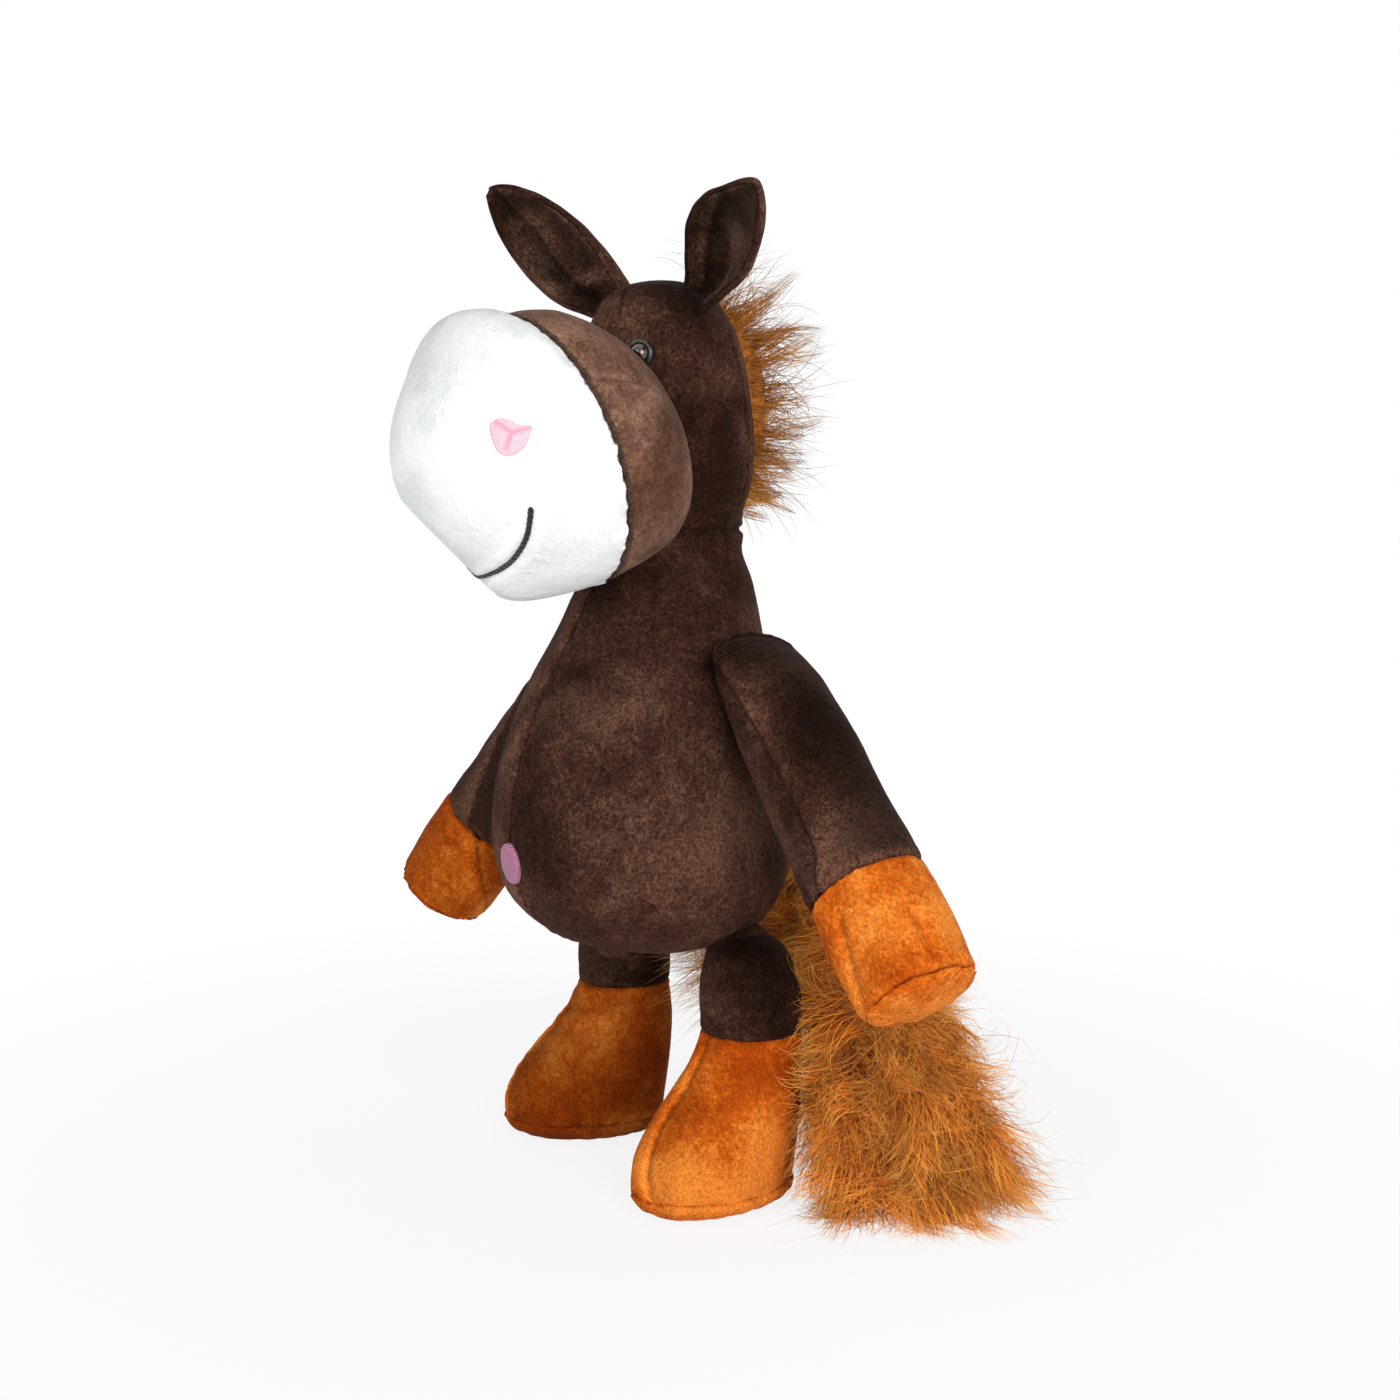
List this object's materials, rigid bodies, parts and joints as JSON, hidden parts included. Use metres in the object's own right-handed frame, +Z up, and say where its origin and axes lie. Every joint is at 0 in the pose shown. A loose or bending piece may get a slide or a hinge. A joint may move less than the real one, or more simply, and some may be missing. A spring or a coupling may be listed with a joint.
{
  "type": "plush horse",
  "caption": "Soft stuffed toy horse standing upright on two padded hooves, with a round muzzle, floppy arms, leaf ears, a shaggy mane and tail.",
  "frame": {"origin": "on the floor under the middle of the toy: the bottom centre of its box", "axes": "+Z up, the horse faces -Y, and +X points to the horse's own left"},
  "size_m": [0.2518, 0.165, 0.3215],
  "materials": {
    "brown_plush": "short velour pile, dark chocolate brown",
    "brown_lining": "short velour pile, brown, napped towards the tip",
    "white_plush": "short velour pile, white",
    "orange_plush": "short velour pile, burnt orange",
    "golden_pile": "long shaggy pile, golden brown with darker tips",
    "pink_thread": "satin stitch embroidery",
    "mauve_thread": "satin stitch embroidery",
    "black_thread": "stem stitch embroidery",
    "black_plastic": "gloss",
    "brown_plastic": "gloss, clear over brown",
    "white_plastic": "matte"
  },
  "bodies": {
    "torso_body": {"torso": "brown_plush", "belly_patch": "mauve_thread"},
    "head_body": {"head": "brown_plush", "muzzle_band": "brown_plush", "muzzle_cap": "white_plush", "nostril_left": "pink_thread", "nostril_right": "pink_thread", "mouth_line": "black_thread", "eye_left": "brown_plastic", "eye_right": "brown_plastic", "eye_ring_left": "black_plastic", "eye_ring_right": "black_plastic", "eye_washer_left": "white_plastic", "eye_washer_right": "white_plastic", "mane": "golden_pile"},
    "ear_left_body": {"ear_left": "brown_plush", "ear_lining_left": "brown_lining"},
    "ear_right_body": {"ear_right": "brown_plush", "ear_lining_right": "brown_lining"},
    "arm_left_body": {"arm_left": "brown_plush", "hand_hoof_left": "orange_plush", "hand_pad_left": "orange_plush"},
    "arm_right_body": {"arm_right": "brown_plush", "hand_hoof_right": "orange_plush", "hand_pad_right": "orange_plush"},
    "leg_left_body": {"leg_left": "brown_plush", "foot_hoof_left": "orange_plush", "sole_left": "orange_plush"},
    "leg_right_body": {"leg_right": "brown_plush", "foot_hoof_right": "orange_plush", "sole_right": "orange_plush"},
    "tail_body": {"tail_root": "orange_plush", "tail_tuft": "golden_pile"}
  },
  "joints": [
    {"name": "neck_turn", "type": "hinge", "parent": "torso_body", "child": "head_body", "pos_m": [-0.00676, 0.01074, 0.206], "axis": [0, 0, 1], "range_deg": [-30, 30], "stiffness_Nm_per_rad": 0.3},
    {"name": "ear_left_fold", "type": "hinge", "parent": "head_body", "child": "ear_left_body", "pos_m": [0.01329, 0.00489, 0.27587], "axis": [0.5265, 0.2621, -0.8088], "range_deg": [-20, 40], "stiffness_Nm_per_rad": 0.02},
    {"name": "ear_right_fold", "type": "hinge", "parent": "head_body", "child": "ear_right_body", "pos_m": [-0.02682, 0.00488, 0.27587], "axis": [0.7193, 0, 0.6947], "range_deg": [-20, 40], "stiffness_Nm_per_rad": 0.02},
    {"name": "arm_left_raise", "type": "hinge", "parent": "torso_body", "child": "arm_left_body", "pos_m": [0.03344, 0.01224, 0.171], "axis": [0, -1, 0], "range_deg": [-6, 90], "stiffness_Nm_per_rad": 0.2},
    {"name": "arm_right_raise", "type": "hinge", "parent": "torso_body", "child": "arm_right_body", "pos_m": [-0.04696, 0.01224, 0.171], "axis": [-0.454, 0.891, 0], "range_deg": [-6, 90], "stiffness_Nm_per_rad": 0.2},
    {"name": "leg_left_swing", "type": "hinge", "parent": "torso_body", "child": "leg_left_body", "pos_m": [0.03074, 0.01424, 0.068], "axis": [-1, 0, 0], "range_deg": [-10, 45], "stiffness_Nm_per_rad": 0.8},
    {"name": "leg_right_swing", "type": "hinge", "parent": "torso_body", "child": "leg_right_body", "pos_m": [-0.04426, 0.01424, 0.068], "axis": [-1, 0, 0], "range_deg": [-10, 45], "stiffness_Nm_per_rad": 0.8},
    {"name": "tail_swing", "type": "hinge", "parent": "torso_body", "child": "tail_body", "pos_m": [-0.00676, 0.05434, 0.1], "axis": [0, 0, 1], "range_deg": [0, 80], "stiffness_Nm_per_rad": 0.03}
  ]
}
